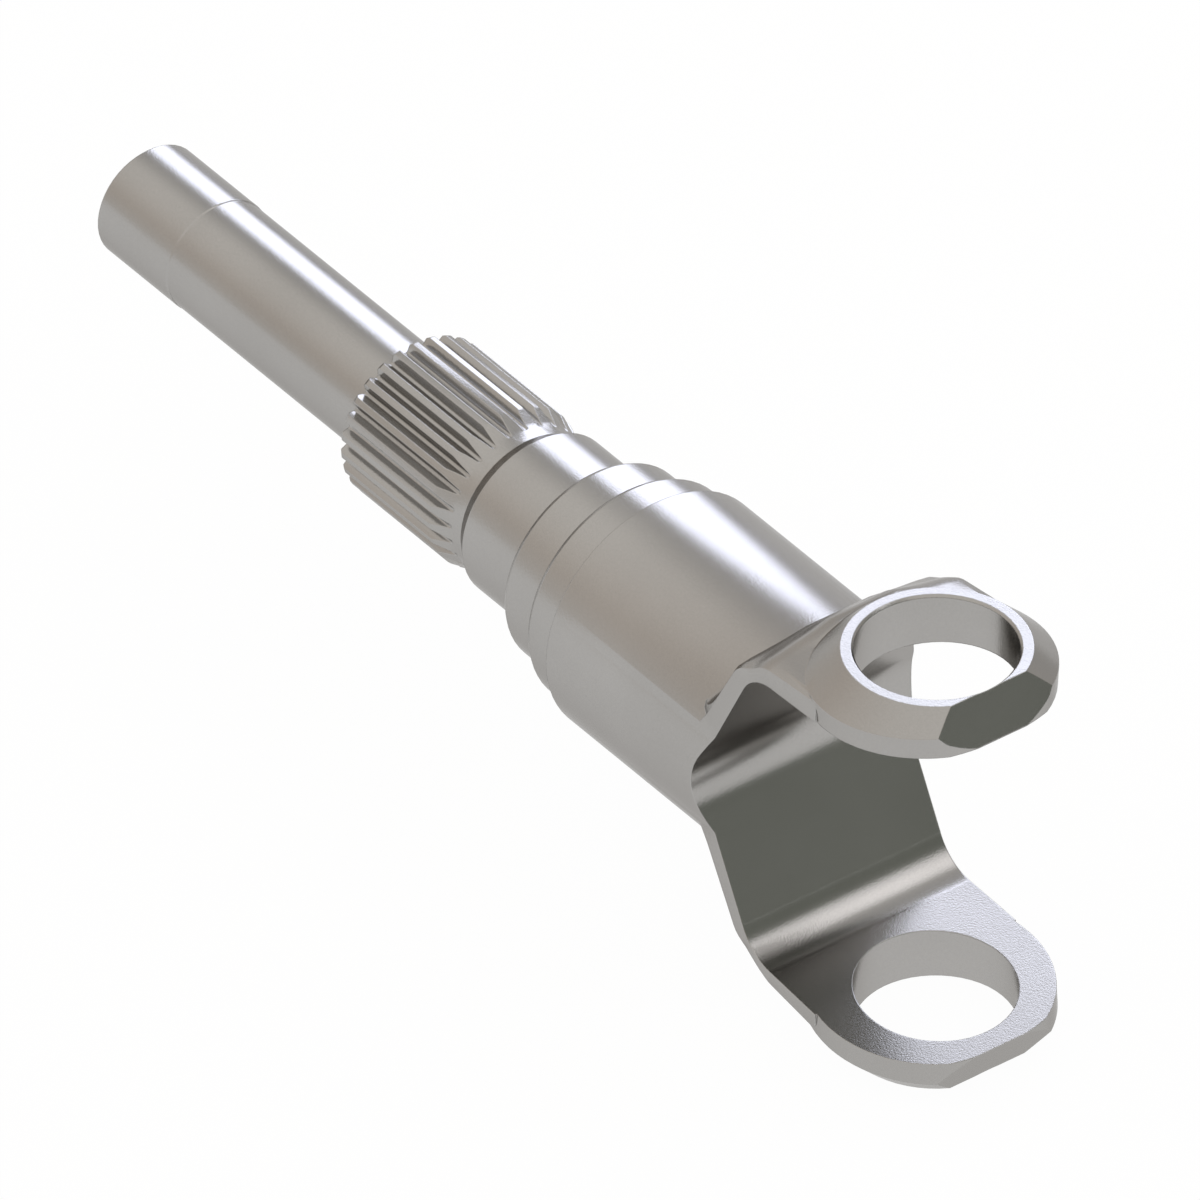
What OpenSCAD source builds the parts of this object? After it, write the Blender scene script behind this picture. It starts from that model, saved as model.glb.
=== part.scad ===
// Driveshaft yoke, forged and machined in one piece: a two-eared fork on a stepped, splined shaft.
// Millimetres. The origin is where the bearing bores' axis crosses the shaft's axis.
// +X runs along the shaft towards the fork's open end, +Z along the bearing bores, Y across the fork.

/* [Bearing ears] */
// bearing bore diameter in both ears
bore_d = 39.67; // [36:0.01:42]
// distance over the two machined ear faces
ear_span = 115.2; // [110:0.1:122]
// outer diameter of the flat machined ring on each ear
ring_d = 46.1; // [44.5:0.1:50]
// diameter of the ear, which is also the width of the arms
ear_d = 60; // [56:0.1:64]
// width of the chamfer at each bore's outer edge
bore_chamfer = 0.58; // [0.3:0.01:1]
// distance across the fork between the ears' inner faces, at the bores' axis
ear_gap = 89.3; // [84:0.1:94]
// draft of the ears' inner faces, in degrees
face_draft = 3.9; // [1:0.1:6]
// distance that the ears' round outline is set back from the bores' axis
ear_set_back = 2.4; // [1:0.1:4]
// radius of the ear's flatter outline across its tip
tip_round = 52; // [45:1:90]
// distance from the tip flat's lower edge to the outline's foremost point
tip_swell = 0.5; // [0.2:0.1:1.5]

/* [Ear tips] */
// distance from the bores' axis to the tip flat at the ear's inner face
tip_reach = 25.7; // [24:0.1:28]
// lean of the tip flats from the bores' direction, in degrees
tip_lean = 26.3; // [23:0.1:28]

/* [Fork throat and arms] */
// distance from the bores' axis to the bottom of the throat
throat_depth = 53; // [50:0.1:58]
// lean of the throat's flanks from the bores' direction, in degrees
flank_lean = 27.2; // [22:0.1:32]
// radius of the throat's bottom
throat_r = 18; // [12:0.5:20]
// radius between the throat's flanks and the ears' inner faces
corner_r = 13; // [8:0.5:16]
// thickness of the arms
arm_t = 6.2; // [5.6:0.1:7]
// how much thicker the arms are along their middle, where they run into the ears
arm_crown = 3.9; // [2:0.1:5]
// radius of the blend between the hub and the arms
blend_r = 5; // [3:0.1:7]

/* [Hub and collars] */
// hub diameter
hub_d = 66; // [64:0.1:70]
// distance from the bores' axis to the hub's rear end
hub_reach = 110.1; // [104:0.1:120]
// seal collar diameter
seal_d = 61.5; // [59:0.1:63]
// seal collar length
seal_len = 9.7; // [6:0.1:16]
// bearing collar diameter
collar_d = 55; // [50:0.1:57]
// bearing collar length
collar_len = 13.6; // [8:0.1:20]
// lead-in chamfer length on the collars
lead_len = 1.2; // [0.6:0.1:2]
// lead-in chamfer depth on the collars
lead_depth = 0.7; // [0.4:0.05:1]

/* [Bearing journal] */
// journal diameter
journal_d = 45; // [44.6:0.1:48]
// journal length
journal_len = 23.8; // [18:0.1:30]
// length of the cone from the neck up to the journal
cone_len = 3.75; // [2:0.05:5]

/* [Spline] */
// tooth count
teeth = 27; // [27:1:27]
// diameter over the teeth
major_d = 44.45; // [43.8:0.01:44.5]
// diameter at the bottom of the tooth spaces
root_d = 40; // [39.4:0.1:40.4]
// full length of the toothed zone, from its rear end to where the teeth start to run out
spline_len = 35.6; // [25:0.1:50]
// length of the lead-in chamfer at the teeth's rear ends
tooth_lead = 0.8; // [0.4:0.1:1.6]
// depth of the lead-in chamfer at the teeth's rear ends
tooth_lead_depth = 0.5; // [0.3:0.1:1]
// length over which the teeth run out towards the journal
runout_len = 6.1; // [4:0.1:9]
// neck length between the run-out and the journal's cone
neck_len = 3.75; // [2:0.05:8]

/* [Pilot] */
// pilot diameter
pilot_d = 30.4; // [26:0.1:30.6]
// diameter of the pilot's bushing land
land_d = 30.8; // [30.6:0.1:32]
// pilot length from the spline to its free end
pilot_len = 106.8; // [80:0.1:130]
// length of the bushing land at the pilot's free end
land_len = 28.2; // [15:0.1:40]
// chamfer at the pilot's free end
end_chamfer = 0.8; // [0.4:0.1:1.6]

/* [Hidden] */
$fn = 96;
steel = [0.66, 0.65, 0.63];
bore_r = bore_d / 2;
ring_r = ring_d / 2;
ear_r = ear_d / 2;
face_z = ear_span / 2;
gap_z = ear_gap / 2;
hub_r = hub_d / 2;

// stations along the shaft, counted from the fork backwards
x_hub = -hub_reach;
x_seal = x_hub - seal_len;
x_collar = x_seal - collar_len;
x_journal = x_collar - journal_len;
x_cone = x_journal - cone_len;
x_neck = x_cone - neck_len;
x_runout = x_neck - runout_len;
x_spline = x_runout - spline_len;
x_land = x_spline - pilot_len + land_len;
x_end = x_spline - pilot_len;
neck_r = root_d / 2 + 0.12;

// throat: a round bottom, two leaning flanks, two rounded corners and the ears' inner faces, in x and z
flank_n = [-cos(flank_lean), sin(flank_lean)];
face_n = [-sin(face_draft), cos(face_draft)];
bottom_c = [-throat_depth + throat_r, 0];
flank_in = bottom_c + throat_r * flank_n;
flank_level = flank_n * flank_in - corner_r;
face_level = face_n * [0, gap_z] - corner_r;
corner_det = -cos(flank_lean + face_draft);
corner_c = [(flank_level * face_n[1] - face_level * flank_n[1]) / corner_det,
            (flank_n[0] * face_level - face_n[0] * flank_level) / corner_det];
flank_out = corner_c + corner_r * flank_n;
face_in = corner_c + corner_r * face_n;
flank_len = norm(flank_out - flank_in);
flank_back = flank_in + arm_t * flank_n;
back_slope = tan(flank_lean);
back_x0 = flank_back[0] - back_slope * flank_back[1];
// where the arms end, inside the ears
arm_end = -8;
// how far the ears' bodies start below their inner faces
ear_root = 6;
// how far a rounded corner stands past its walls, so that the two cross cleanly
proud = 0.02;

// involute teeth, 30 degree pressure angle; the profile runs past the major diameter, where the blank cuts it
// the circle over the teeth is one module wider than the pitch circle
pitch_r = major_d / 2 * teeth / (teeth + 1);
base_r = pitch_r * cos(30);
pitch_half = 90 / teeth;
function inv_deg(r) = let (a = acos(base_r / r)) tan(a) * 180 / PI - a;
function half_angle(r) = pitch_half + inv_deg(pitch_r) - inv_deg(r);
function polar(r, a) = [r * cos(a), r * sin(a)];
space_half = 180 / teeth;
root_r = root_d / 2;
form_r = root_r + 0.64;
flank_rs = [23, 22.2, 21.4, form_r];
root_pts = [[root_r + 0.25, space_half - 1.72], [root_r + 0.04, space_half - 0.9]];
function tooth_side() = concat(
    [for (r = flank_rs) [r, half_angle(r)]],
    root_pts
);
function tooth_pts(i) = let (side = tooth_side(), n = len(side), c = (i + 0.5) * 360 / teeth) concat(
    [for (k = [n - 1:-1:0]) polar(side[k][0], c - side[k][1])],
    [for (k = [0:n - 1]) polar(side[k][0], c + side[k][1])]
);

// lays a profile of [radius, x] points round the shaft's axis
module turned(pts) {
    rotate([0, 90, 0])
        rotate_extrude($fn = 128)
            polygon(pts);
}

// runs a shape drawn in x and z across the fork, centred
module across(width) {
    rotate([90, 0, 0])
        linear_extrude(width, center = true)
            children();
}

module shaft_blank() {
    turned([
        [0, x_end],
        [land_d / 2 - end_chamfer, x_end],
        [land_d / 2, x_end + end_chamfer],
        [land_d / 2, x_land],
        [pilot_d / 2, x_land + 0.3],
        [pilot_d / 2, x_neck],
        [neck_r, x_neck],
        [neck_r, x_cone],
        [journal_d / 2, x_journal],
        [journal_d / 2, x_collar - lead_len],
        [collar_d / 2 - lead_depth, x_collar - lead_len],
        [collar_d / 2, x_collar],
        [collar_d / 2, x_seal - lead_len],
        [seal_d / 2 - lead_depth, x_seal - lead_len],
        [seal_d / 2, x_seal],
        [seal_d / 2, x_hub],
        [hub_r, x_hub],
        [hub_r, bottom_c[0]],
        [0, bottom_c[0]]
    ]);
}

module spline() {
    intersection() {
        translate([x_spline - 1, 0, 0])
            rotate([0, 90, 0])
                linear_extrude(x_neck - x_spline + 2)
                    polygon([for (i = [0:teeth - 1]) each tooth_pts(i)]);
        turned([
            [pilot_d / 2 - 2, x_spline],
            [major_d / 2 - tooth_lead_depth, x_spline],
            [major_d / 2, x_spline + tooth_lead],
            [major_d / 2, x_runout],
            [neck_r, x_neck],
            [pilot_d / 2 - 2, x_neck]
        ]);
    }
}

// the throat's opening between the ears, cut right across the fork
module throat(width) {
    across(width)
        polygon([
            flank_in,
            flank_out,
            face_in,
            [ear_d, gap_z + ear_d * tan(face_draft)],
            [ear_d, -gap_z - ear_d * tan(face_draft)],
            [face_in[0], -face_in[1]],
            [flank_out[0], -flank_out[1]],
            [flank_in[0], -flank_in[1]]
        ]);
    across(width)
        translate(bottom_c)
            circle(throat_r + proud);
    for (s = [1, -1])
        across(width)
            translate([corner_c[0], s * corner_c[1]])
                circle(corner_r + proud);
}

// one forged arm, swept along the outside of the throat's wall, thinner and rounder at its edges
// half sections of the arm as [distance across, thickness], at the hub, on the flank, in the corner,
// where the ear's inner face starts and at the ear
at_hub = [[-0.3, -1], [-0.3, 0], [-0.3, 5], [-0.6, arm_t + 0.3], [-1.8, arm_t + 0.7], [-5.5, arm_t + 0.7],
          [-12, arm_t + 0.7], [-21, arm_t + 0.7]];
on_flank = [[-0.3, -1], [-0.3, 0], [-0.4, 3], [-0.8, arm_t - 1.3], [-2.1, arm_t - 0.6], [-5.5, arm_t - 0.2],
            [-12, arm_t], [-21, arm_t + 0.3]];
in_corner = [[-0.3, -1], [-0.3, 0], [-0.4, 2.3], [-1.2, arm_t - 2.9], [-3, arm_t - 2.1], [-6.5, arm_t - 1.5],
             [-12, arm_t - 0.6], [-21, arm_t + 0.6]];
at_face = [[-0.3, -1], [-0.3, 0], [-0.3, 3], [-1, arm_t - 1.7], [-3, arm_t - 0.9], [-6.5, arm_t - 0.2],
           [-12, arm_t + 1], [-21, arm_t + arm_crown]];
at_ear = [[0.1, -1], [0.1, 0], [0, 3], [-0.5, arm_t - 1], [-1.9, arm_t - 0.2], [-5.5, arm_t + 0.5],
          [-12, arm_t + 1.6], [-21, arm_t + arm_crown]];
function mix(a, b, t) = a + (b - a) * t;
function eased(t) = t * t * (3 - 2 * t);
turn_steps = 12;
half_turn = turn_steps / 2;
arm_stations = concat(
    [[flank_in, flank_n, at_hub],
     [flank_in + 10 * polar(1, 90 - flank_lean), flank_n, mix(at_hub, on_flank, 0.6)]],
    [for (k = [0:turn_steps])
        let (a = 180 - flank_lean - k * (90 - flank_lean - face_draft) / turn_steps)
            [corner_c + corner_r * polar(1, a), polar(1, a),
             k < half_turn ? mix(on_flank, in_corner, eased(k / half_turn))
                           : mix(in_corner, at_face, eased(k / half_turn - 1))]],
    [[[arm_end, gap_z + arm_end * tan(face_draft)], face_n, at_ear]]
);

module upper_arm() {
    m = len(arm_stations);
    h = len(at_hub);
    n = 2 * h;
    rings = [
        for (st = arm_stations)
            [for (k = [0:n - 1])
                let (
                    q = st[2][k < h ? k : n - 1 - k],
                    y = (ear_r + q[0]) * (k < h ? 1 : -1),
                    p = st[0] + q[1] * st[1]
                ) [p[0], y, p[1]]]
    ];
    polyhedron(
        points = [for (ring = rings) each ring],
        faces = concat(
            [[for (k = [0:n - 1]) k]],
            [for (i = [0:m - 2])
                for (k = [0:n - 1])
                    let (a = i * n + k, b = a + n, c = (i + 1) * n + (k + 1) % n, d = i * n + (k + 1) % n)
                        each [[a, b, c], [a, c, d]]],
            [[for (k = [n - 1:-1:0]) (m - 1) * n + k]]
        )
    );
}

// the ear's outline: its round, the flatter arc across its tip and a middle arc that eases one into the other
// where a small round stays inside the tip's arc, the middle arc starts at the round's foremost point
tip_c = tip_reach + tip_swell - tip_round;
turn_x = min(ear_r - ear_set_back,
             (tip_c * tip_c - ear_set_back * ear_set_back - tip_round * tip_round + ear_r * ear_r)
             / (2 * (tip_c + ear_set_back)));
turn_y = sqrt(max(0, ear_r * ear_r - (turn_x + ear_set_back) * (turn_x + ear_set_back)));
mid_round = (ear_r + tip_round) / 2;
mid_c = turn_x + 0.1 - sqrt(mid_round * mid_round - turn_y * turn_y);

// one ear: a drafted round body, set back a little from the bores' axis, under the 45 degree cone
module ear() {
    body_h = face_z - gap_z + ear_root;
    intersection() {
        translate([0, 0, gap_z - ear_root])
            cylinder(body_h, ring_r + body_h, ring_r);
        translate([-ear_set_back, 0, gap_z - ear_root])
            cylinder(ear_r, ear_r - 0.1, ear_r + 1.2);
        translate([mid_c, 0, gap_z - ear_root])
            cylinder(ear_r, mid_round, mid_round);
        translate([tip_c, 0, gap_z - ear_root])
            cylinder(ear_r, tip_round, tip_round);
    }
}

// blend between the hub and an arm's back, turned round the shaft and leaned to follow the arm
// its foot as [distance behind the arm's back, distance across], dying out towards the arm's edges
blend_foot = [[3, ear_r - 3], [0, ear_r - 1.9], [-0.44 * blend_r, ear_r - 2.6],
              [-0.84 * blend_r, ear_r - 0.84 * blend_r], [-1.5 * blend_r, ear_r - 1.6 * blend_r]];
module hub_blend() {
    c = blend_r - 0.15;
    multmatrix([
        [1, 0, back_slope, back_x0],
        [0, 1, 0, 0],
        [0, 0, 1, 0],
        [0, 0, 0, 1]
    ])
        intersection() {
            rotate([0, 90, 0])
                rotate_extrude($fn = 128)
                    difference() {
                        translate([hub_r - 3, -blend_r - 1])
                            square([blend_r + 2.8, blend_r + 3]);
                        translate([hub_r + c, -c])
                            circle(blend_r);
                        translate([hub_r + c - blend_r, -2 * blend_r - c])
                            square([3 * blend_r, 2 * blend_r]);
                        translate([hub_r + c, -2 * blend_r])
                            square([3 * blend_r, 3 * blend_r]);
                    }
            translate([0, 0, hub_r / 4])
                linear_extrude(ear_d)
                    polygon(concat(
                        [for (q = blend_foot) [q[0], -q[1]]],
                        [for (k = [len(blend_foot) - 1:-1:0]) blend_foot[k]]
                    ));
        }
}

module yoke() {
    color(steel)
        difference() {
            union() {
                shaft_blank();
                spline();
                for (s = [0, 1])
                    mirror([0, 0, s]) {
                        upper_arm();
                        ear();
                        hub_blend();
                    }
            }
            throat(ear_span);
            cylinder(2 * ear_span, bore_r, bore_r, center = true);
            for (s = [0, 1])
                mirror([0, 0, s]) {
                    translate([0, 0, face_z - bore_chamfer])
                        cylinder(2, bore_r, bore_r + 2);
                    translate([tip_reach, 0, gap_z + tip_reach * tan(face_draft)])
                        rotate([0, -tip_lean, 0])
                            translate([0, -ear_r - 1, -ear_r])
                                cube([ear_r, ear_d + 2, ear_d]);
                }
        }
}

yoke();
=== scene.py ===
import bpy
from mathutils import Matrix, Vector

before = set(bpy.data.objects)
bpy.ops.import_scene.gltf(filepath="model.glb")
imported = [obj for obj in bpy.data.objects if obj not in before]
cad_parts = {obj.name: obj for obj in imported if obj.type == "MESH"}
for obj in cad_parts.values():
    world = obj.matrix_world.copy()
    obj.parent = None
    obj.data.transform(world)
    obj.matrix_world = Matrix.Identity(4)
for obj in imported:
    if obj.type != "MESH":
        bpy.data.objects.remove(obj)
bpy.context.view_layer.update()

# All lengths are in metres, angles in radians and powers in watts, unless a name says otherwise.
# All colours are linear red, green and blue.

# The photograph's camera: almost no perspective, so a very long lens a long way off.
CAMERA_RIGHT = Vector((0.603323, 0.797501, -0.001618))
CAMERA_UP = Vector((-0.489088, 0.3716, 0.789129))
TO_CAMERA = Vector((0.629932, -0.475304, 0.614234))
CAMERA_AIM = Vector((-0.075836, -0.042625, 0.044775))
CAMERA_DISTANCE = 13.0537
LENS_MM = 1650.0
SENSOR_MM = 36.0
CLIP_START = 1.0
CLIP_END = 40.0

# Two soft rectangular lights, both turned towards the middle of the shaft.
SHAFT_MIDDLE = Vector((-0.12, 0.0, 0.0))
LIGHT_DISTANCE = 2.4
KEY_DIRECTION = Vector((-0.549, 0.702, 0.454))
KEY_WIDTH = 1.28
KEY_HEIGHT = 1.51
KEY_POWER = 20.0
KEY_COLOUR = (0.77, 0.82, 1.0)
TOP_DIRECTION = Vector((0.41, 0.51, 0.755))
TOP_WIDTH = 1.3
TOP_HEIGHT = 1.3
TOP_POWER = 5.0
TOP_COLOUR = (0.97, 0.96, 1.0)

# The studio's colour by height, from 0 at the horizon to 1 overhead.
STUDIO_COLOURS = (
    (0.0, (0.83, 0.795, 0.76)),
    (0.33, (0.80, 0.73, 0.665)),
    (0.57, (0.93, 0.875, 0.82)),
    (0.75, (1.0, 0.97, 0.93)),
    (1.0, (1.0, 0.97, 0.93)),
)

# Two patches of the studio are darker: one round the key light, and one beyond the fork.
# Each is full inside the first cosine of the angle from its direction, and ends at the second.
DIM_DIRECTION = Vector((-0.407, 0.765, 0.5))
DIM_COSINES = (0.966, 0.574)
DIM_COLOUR = (0.57, 0.56, 0.55)
DARK_DIRECTION = Vector((0.83, 0.55, 0.12))
DARK_COSINES = (0.93, 0.62)
DARK_COLOUR = (0.25, 0.265, 0.235)

# The floor touches the lower ear.
FLOOR_Z = -0.0576
FLOOR_HALF_SIDE = 3.0
FLOOR_COLOUR = (0.93, 0.91, 0.88)
# This share of what the camera and the metal see of the floor is plain white, and the rest is lit.
FLOOR_WHITE_SHARE = 0.97

# Shading of the CAD's faces: points this close are one, and an edge that turns by more stays sharp.
WELD_DISTANCE = 0.000005
SHARP_ANGLE = 0.42
# A CAD triangle above this area, in square metres, lies in one of the part's large flats.
LARGE_FLAT = 0.0001
# How strongly the larger of the faces that meet at a point decides its normal: 50 is by area alone.
FLAT_WEIGHT = 70

# The steel's colour over a noise of large patches, and its colours on edges and at grazing angles.
STEEL_COLOURS = (
    (0.35, (0.372, 0.363, 0.350)),
    (0.65, (0.396, 0.387, 0.374)),
)
PATCHES_PER_METRE = 22.0
PATCH_DETAIL = 3.0
WORN_COLOUR = (0.45, 0.444, 0.436)
GRAZING_TINT = (0.66, 0.65, 0.64)

# Wear on the edges, which are where the normal of a rounded surface leaves the true one.
EDGE_RADIUS = 0.0004
EDGE_SAMPLES = 6
# Wear starts at the first cosine of the angle between the two normals, and is full at the second.
WEAR_START = 0.995
WEAR_FULL = 0.90
WEAR_SHARE = 0.6

# Grain: bead-blasted pits under half a millimetre wide, each a little darker than its rim.
PITS_PER_METRE = 2200.0
PIT_DETAIL = 1.0
PIT_ROUGHNESS = 0.6
PIT_DEPTH = 0.000022
PIT_SHADE = 0.94
RIM_SHADE = 1.06

# Sheen: the roughness wanders a little over the surface.
DRIFTS_PER_METRE = 60.0
DRIFT_DETAIL = 4.0
LEAST_ROUGHNESS = 0.20
MOST_ROUGHNESS = 0.24

# How nodes are set out in the node editor.
NODES_PER_COLUMN = 4
NODE_STEP = 300.0


def add_node(tree, kind, **settings):
    """Adds a node at the next free place of the node editor, column by column."""
    node = tree.nodes.new(kind)
    column, row = divmod(len(tree.nodes) - 1, NODES_PER_COLUMN)
    node.location = (column * NODE_STEP, -row * NODE_STEP)
    for name, value in settings.items():
        setattr(node, name, value)
    return node


def add_noise(tree, place, scale, detail):
    """Adds a noise that is fixed to the object, with a scale in features per metre."""
    noise = add_node(tree, "ShaderNodeTexNoise")
    noise.inputs["Scale"].default_value = scale
    noise.inputs["Detail"].default_value = detail
    tree.links.new(place.outputs["Object"], noise.inputs["Vector"])
    return noise


def fill_ramp(ramp, colours):
    """Gives a colour ramp its places and colours. The two that it starts with become its ends."""
    first, *between, last = colours
    for element, (position, colour) in zip(ramp.elements, (first, last)):
        element.position = position
        element.color = (*colour, 1.0)
    for position, colour in between:
        ramp.elements.new(position).color = (*colour, 1.0)


def empty_tree(owner):
    """Gives a world or a material an empty node tree."""
    owner.use_nodes = True
    owner.node_tree.nodes.clear()
    return owner.node_tree


def make_camera():
    data = bpy.data.cameras.new("camera")
    data.sensor_width = SENSOR_MM
    data.lens = LENS_MM
    data.clip_start = CLIP_START
    data.clip_end = CLIP_END
    camera = bpy.data.objects.new("camera", data)
    turn = Matrix((CAMERA_RIGHT, CAMERA_UP, TO_CAMERA)).transposed().to_4x4()
    camera.matrix_world = Matrix.Translation(CAMERA_AIM + TO_CAMERA * CAMERA_DISTANCE) @ turn
    bpy.context.scene.collection.objects.link(camera)
    bpy.context.scene.camera = camera


def make_area_light(name, direction, width, height, power, colour):
    data = bpy.data.lights.new(name, "AREA")
    data.shape = "RECTANGLE"
    data.size = width
    data.size_y = height
    data.energy = power
    data.color = colour
    light = bpy.data.objects.new(name, data)
    towards = direction.normalized()
    light.location = SHAFT_MIDDLE + towards * LIGHT_DISTANCE
    light.rotation_mode = "QUATERNION"
    light.rotation_quaternion = (-towards).to_track_quat("-Z", "Y")
    bpy.context.scene.collection.objects.link(light)


def darker_patch(tree, sky, walls, direction, cosines, colour):
    """Moves the walls' colour towards a darker one round a direction."""
    full, end = cosines
    near = add_node(tree, "ShaderNodeVectorMath", operation="DOT_PRODUCT")
    near.inputs[1].default_value = direction.normalized()
    tree.links.new(sky.outputs["Generated"], near.inputs[0])
    fall = add_node(tree, "ShaderNodeMapRange", interpolation_type="SMOOTHSTEP")
    fall.inputs["From Min"].default_value = end
    fall.inputs["From Max"].default_value = full
    tree.links.new(near.outputs["Value"], fall.inputs["Value"])
    mix = add_node(tree, "ShaderNodeMix", data_type="RGBA")
    mix.inputs["B"].default_value = (*colour, 1.0)
    tree.links.new(walls, mix.inputs["A"])
    tree.links.new(fall.outputs["Result"], mix.inputs["Factor"])
    return mix.outputs["Result"]


def make_world():
    """A pale beige studio, dimmer round the key light and dark beyond the fork."""
    world = bpy.data.worlds.new("studio")
    bpy.context.scene.world = world
    tree = empty_tree(world)
    sky = add_node(tree, "ShaderNodeTexCoord")
    split = add_node(tree, "ShaderNodeSeparateXYZ")
    height = add_node(tree, "ShaderNodeValToRGB")
    fill_ramp(height.color_ramp, STUDIO_COLOURS)
    tree.links.new(sky.outputs["Generated"], split.inputs[0])
    tree.links.new(split.outputs["Z"], height.inputs["Fac"])
    walls = height.outputs["Color"]
    walls = darker_patch(tree, sky, walls, DIM_DIRECTION, DIM_COSINES, DIM_COLOUR)
    walls = darker_patch(tree, sky, walls, DARK_DIRECTION, DARK_COSINES, DARK_COLOUR)
    light = add_node(tree, "ShaderNodeBackground")
    light.inputs["Strength"].default_value = 1.0
    out = add_node(tree, "ShaderNodeOutputWorld")
    tree.links.new(walls, light.inputs["Color"])
    tree.links.new(light.outputs[0], out.inputs["Surface"])


def make_floor():
    """A floor that is white to the camera and to the metal, and matte to the light."""
    mesh = bpy.data.meshes.new("floor")
    signs = ((-1, -1), (1, -1), (1, 1), (-1, 1))
    corners = [(x * FLOOR_HALF_SIDE, y * FLOOR_HALF_SIDE, FLOOR_Z) for x, y in signs]
    mesh.from_pydata(corners, [], [(0, 1, 2, 3)])
    floor = bpy.data.objects.new("floor", mesh)
    bpy.context.scene.collection.objects.link(floor)
    material = bpy.data.materials.new("floor_white")
    tree = empty_tree(material)
    matte = add_node(tree, "ShaderNodeBsdfDiffuse")
    matte.inputs["Color"].default_value = (*FLOOR_COLOUR, 1.0)
    white = add_node(tree, "ShaderNodeEmission")
    path = add_node(tree, "ShaderNodeLightPath")
    mirrored = add_node(tree, "ShaderNodeMath", operation="MAXIMUM")
    seen = add_node(tree, "ShaderNodeMath", operation="MAXIMUM")
    share = add_node(tree, "ShaderNodeMath", operation="MULTIPLY")
    share.inputs[1].default_value = FLOOR_WHITE_SHARE
    join = add_node(tree, "ShaderNodeMixShader")
    out = add_node(tree, "ShaderNodeOutputMaterial")
    tree.links.new(path.outputs["Is Glossy Ray"], mirrored.inputs[0])
    tree.links.new(path.outputs["Is Transmission Ray"], mirrored.inputs[1])
    tree.links.new(path.outputs["Is Camera Ray"], seen.inputs[0])
    tree.links.new(mirrored.outputs[0], seen.inputs[1])
    tree.links.new(seen.outputs[0], share.inputs[0])
    tree.links.new(share.outputs[0], join.inputs["Fac"])
    tree.links.new(matte.outputs[0], join.inputs[1])
    tree.links.new(white.outputs[0], join.inputs[2])
    tree.links.new(join.outputs[0], out.inputs["Surface"])
    mesh.materials.append(material)


def make_steel():
    """Satin steel with fine bead-blasted grain, faint patches and slightly brighter edges."""
    material = bpy.data.materials.new("satin_steel")
    tree = empty_tree(material)
    place = add_node(tree, "ShaderNodeTexCoord")

    # edges
    rounded = add_node(tree, "ShaderNodeBevel", samples=EDGE_SAMPLES)
    rounded.inputs["Radius"].default_value = EDGE_RADIUS
    geometry = add_node(tree, "ShaderNodeNewGeometry")
    likeness = add_node(tree, "ShaderNodeVectorMath", operation="DOT_PRODUCT")
    edge = add_node(tree, "ShaderNodeMapRange")
    edge.inputs["From Min"].default_value = WEAR_START
    edge.inputs["From Max"].default_value = WEAR_FULL
    wear = add_node(tree, "ShaderNodeMath", operation="MULTIPLY")
    wear.inputs[1].default_value = WEAR_SHARE
    tree.links.new(rounded.outputs["Normal"], likeness.inputs[0])
    tree.links.new(geometry.outputs["Normal"], likeness.inputs[1])
    tree.links.new(likeness.outputs["Value"], edge.inputs["Value"])
    tree.links.new(edge.outputs["Result"], wear.inputs[0])

    # colour: a warm grey with faint large patches, brighter where it is worn
    patches = add_noise(tree, place, PATCHES_PER_METRE, PATCH_DETAIL)
    colour = add_node(tree, "ShaderNodeValToRGB")
    fill_ramp(colour.color_ramp, STEEL_COLOURS)
    worn = add_node(tree, "ShaderNodeMix", data_type="RGBA")
    worn.inputs["B"].default_value = (*WORN_COLOUR, 1.0)
    tree.links.new(patches.outputs["Fac"], colour.inputs["Fac"])
    tree.links.new(colour.outputs["Color"], worn.inputs["A"])
    tree.links.new(wear.outputs[0], worn.inputs["Factor"])

    # grain: the pits' depth
    grain = add_noise(tree, place, PITS_PER_METRE, PIT_DETAIL)
    grain.inputs["Roughness"].default_value = PIT_ROUGHNESS
    pits = add_node(tree, "ShaderNodeBump")
    pits.inputs["Strength"].default_value = 1.0
    pits.inputs["Distance"].default_value = PIT_DEPTH
    tree.links.new(grain.outputs["Fac"], pits.inputs["Height"])
    tree.links.new(rounded.outputs["Normal"], pits.inputs["Normal"])

    # grain: the pits' shade
    shade = add_node(tree, "ShaderNodeMapRange")
    shade.inputs["To Min"].default_value = PIT_SHADE
    shade.inputs["To Max"].default_value = RIM_SHADE
    shaded = add_node(tree, "ShaderNodeVectorMath", operation="SCALE")
    tree.links.new(grain.outputs["Fac"], shade.inputs["Value"])
    tree.links.new(worn.outputs["Result"], shaded.inputs[0])
    tree.links.new(shade.outputs["Result"], shaded.inputs["Scale"])

    # sheen
    drift = add_noise(tree, place, DRIFTS_PER_METRE, DRIFT_DETAIL)
    sheen = add_node(tree, "ShaderNodeMapRange")
    sheen.inputs["To Min"].default_value = LEAST_ROUGHNESS
    sheen.inputs["To Max"].default_value = MOST_ROUGHNESS
    tree.links.new(drift.outputs["Fac"], sheen.inputs["Value"])

    metal = add_node(tree, "ShaderNodeBsdfPrincipled")
    metal.inputs["Metallic"].default_value = 1.0
    metal.inputs["Specular Tint"].default_value = (*GRAZING_TINT, 1.0)
    out = add_node(tree, "ShaderNodeOutputMaterial")
    tree.links.new(shaded.outputs["Vector"], metal.inputs["Base Color"])
    tree.links.new(sheen.outputs["Result"], metal.inputs["Roughness"])
    tree.links.new(pits.outputs["Normal"], metal.inputs["Normal"])
    tree.links.new(metal.outputs[0], out.inputs["Surface"])
    return material


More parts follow.
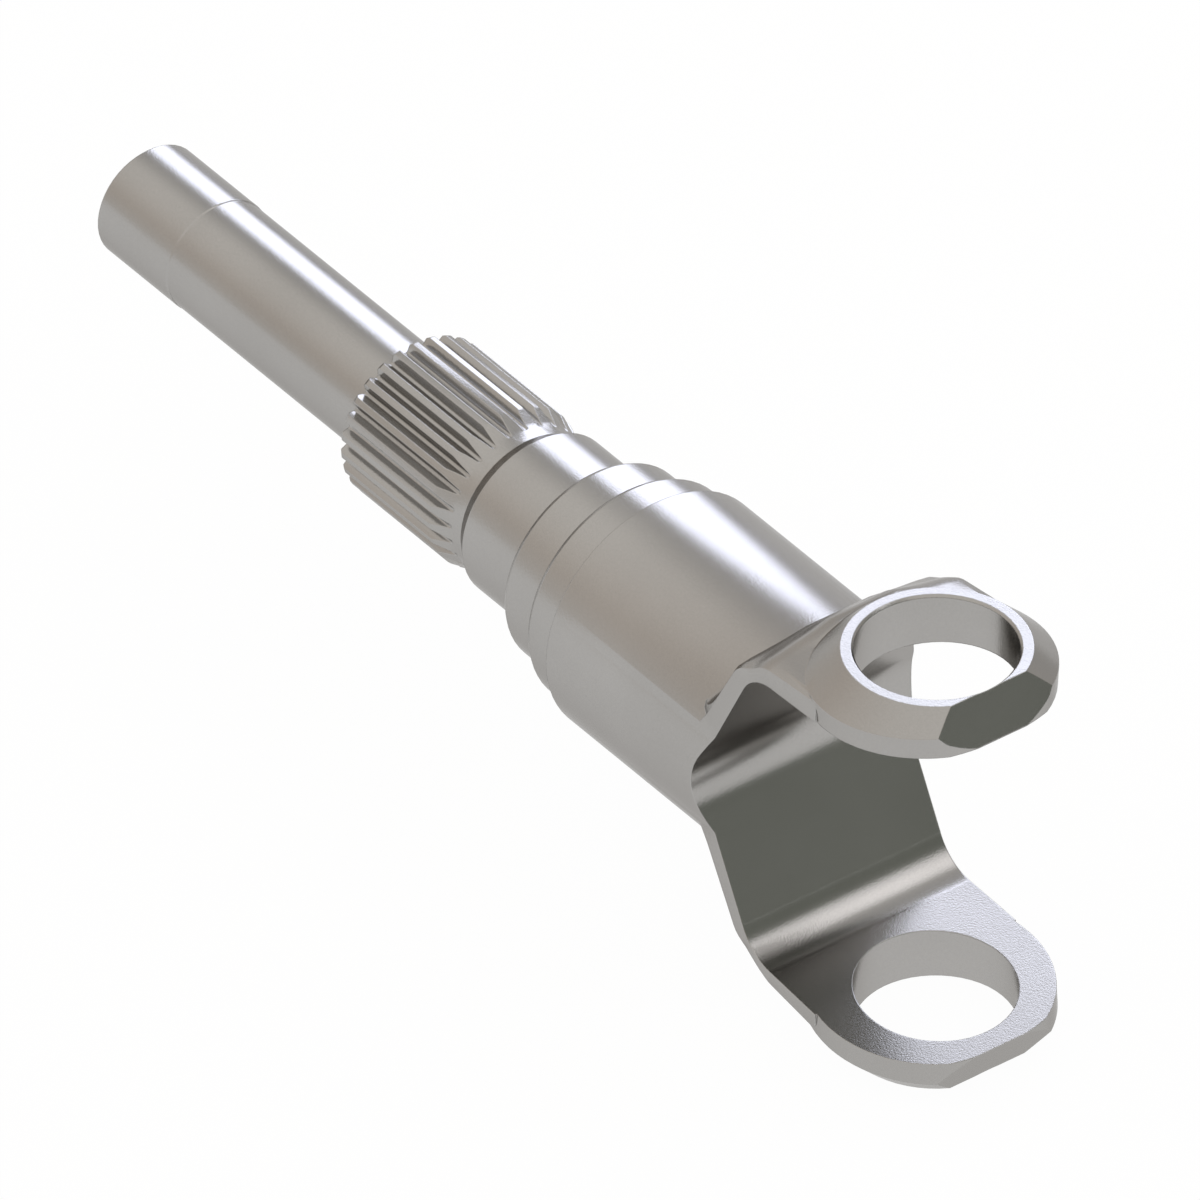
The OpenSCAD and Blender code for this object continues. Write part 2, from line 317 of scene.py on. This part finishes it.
def smooth_faces(thing):
    """Joins the CAD's faces for shading. Edges that turn by more than SHARP_ANGLE stay sharp."""
    group = bpy.data.node_groups.new("smooth_shading", "GeometryNodeTree")
    for way in ("INPUT", "OUTPUT"):
        group.interface.new_socket("Geometry", in_out=way, socket_type="NodeSocketGeometry")
    start = add_node(group, "NodeGroupInput")
    weld = add_node(group, "GeometryNodeMergeByDistance")
    weld.inputs["Distance"].default_value = WELD_DISTANCE
    plain = add_node(group, "GeometryNodeRemoveAttribute")
    plain.inputs["Name"].default_value = "custom_normal"
    smooth = add_node(group, "GeometryNodeSetShadeSmooth", domain="FACE")
    turn = add_node(group, "GeometryNodeInputMeshEdgeAngle")
    steep = add_node(group, "FunctionNodeCompare", data_type="FLOAT", operation="GREATER_THAN")
    steep.inputs["B"].default_value = SHARP_ANGLE
    sharp = add_node(group, "GeometryNodeSetShadeSmooth", domain="EDGE")
    sharp.inputs["Shade Smooth"].default_value = False
    end = add_node(group, "NodeGroupOutput")
    group.links.new(start.outputs[0], weld.inputs["Geometry"])
    group.links.new(weld.outputs["Geometry"], plain.inputs["Geometry"])
    group.links.new(plain.outputs["Geometry"], smooth.inputs["Geometry"])
    group.links.new(smooth.outputs["Geometry"], sharp.inputs["Geometry"])
    group.links.new(turn.outputs["Unsigned Angle"], steep.inputs["A"])
    group.links.new(steep.outputs["Result"], sharp.inputs["Selection"])
    group.links.new(sharp.outputs["Geometry"], end.inputs[0])
    thing.modifiers.new("smooth_shading", "NODES").node_group = group


def level_flats(thing):
    """Lets the large flats decide the normals at their rims, so that they stay evenly shaded."""
    flats = thing.vertex_groups.new(name="flats")
    for face in thing.data.polygons:
        if face.area > LARGE_FLAT:
            flats.add(list(face.vertices), 1.0, "REPLACE")
    level = thing.modifiers.new("flats_stay_flat", "WEIGHTED_NORMAL")
    level.mode = "FACE_AREA"
    level.weight = FLAT_WEIGHT
    level.keep_sharp = True
    level.vertex_group = flats.name


make_camera()
make_world()
make_floor()
make_area_light("key", KEY_DIRECTION, KEY_WIDTH, KEY_HEIGHT, KEY_POWER, KEY_COLOUR)
make_area_light("top", TOP_DIRECTION, TOP_WIDTH, TOP_HEIGHT, TOP_POWER, TOP_COLOUR)

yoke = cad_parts["yoke"]
yoke.material_slots[0].material = make_steel()
smooth_faces(yoke)
level_flats(yoke)

bpy.context.scene.view_settings.view_transform = "Standard"
